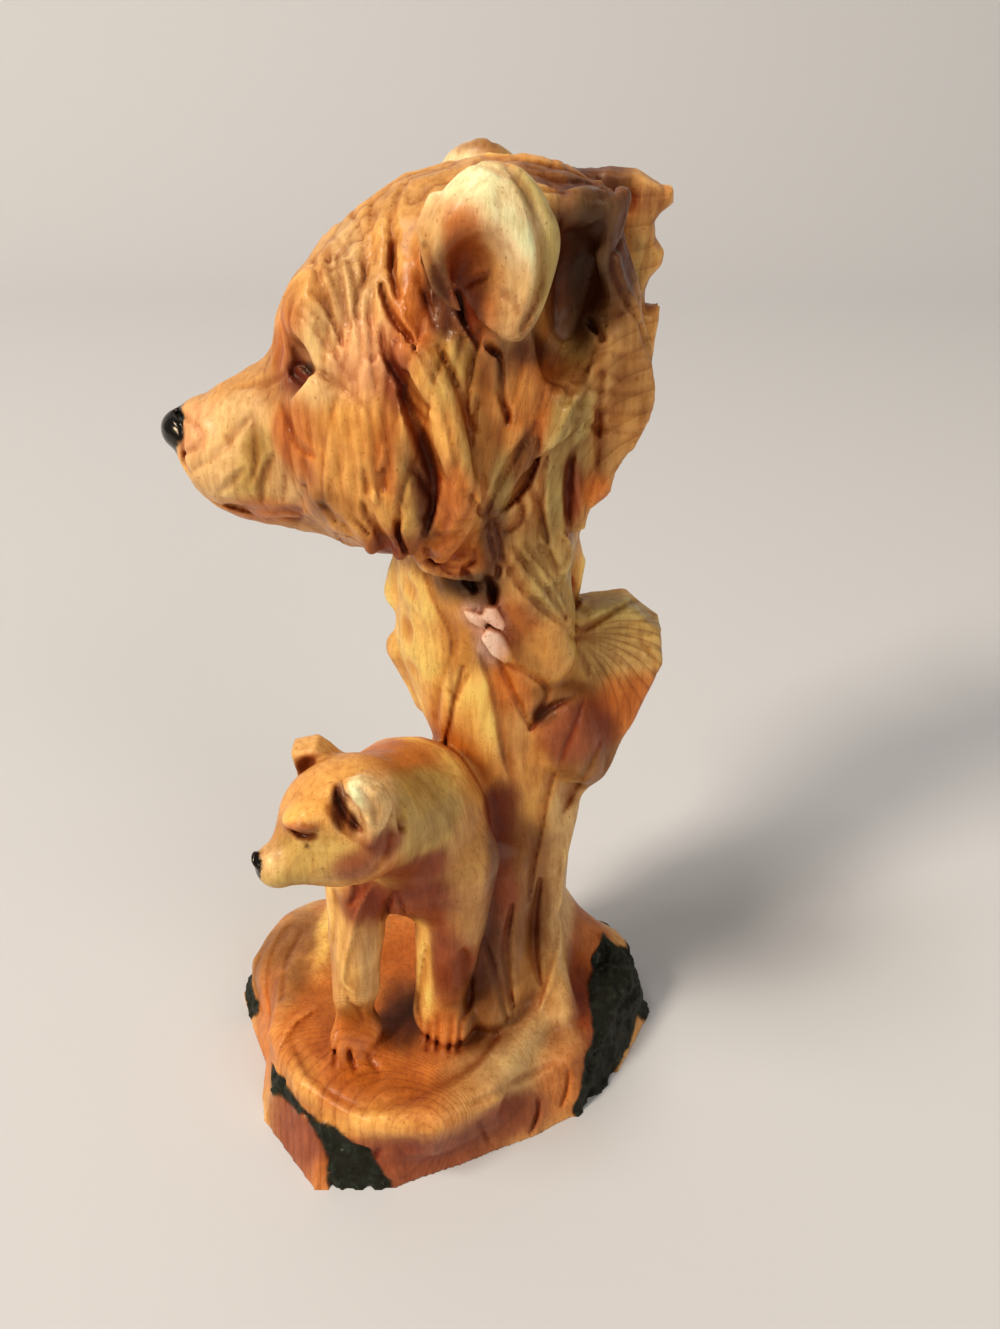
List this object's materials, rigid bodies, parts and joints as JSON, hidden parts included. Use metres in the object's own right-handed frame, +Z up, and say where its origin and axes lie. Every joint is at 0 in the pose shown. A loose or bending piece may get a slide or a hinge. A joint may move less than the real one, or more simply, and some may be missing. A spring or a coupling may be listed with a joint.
{
  "type": "mother bear and cub statue",
  "caption": "Driftwood-look resin figurine: a mother bear's head on a gnarled trunk, her cub standing in front of it on a low bark-edged base.",
  "frame": {"origin": "centre of the bounding box's underside, on the surface the statue stands on", "axes": "+Z up; the mother bear's muzzle points along -X; the side shown in the picture, with the cub, faces -Y"},
  "size_m": [0.1003, 0.0812, 0.1912],
  "materials": {
    "varnished_faux_wood_resin": "painted cast resin in cream, honey and brown wood tones under a satin varnish, with gloss black noses and matt dark bark at the base"
  },
  "bodies": {
    "root": {"bear_and_cub_casting": "varnished_faux_wood_resin"}
  },
  "joints": []
}
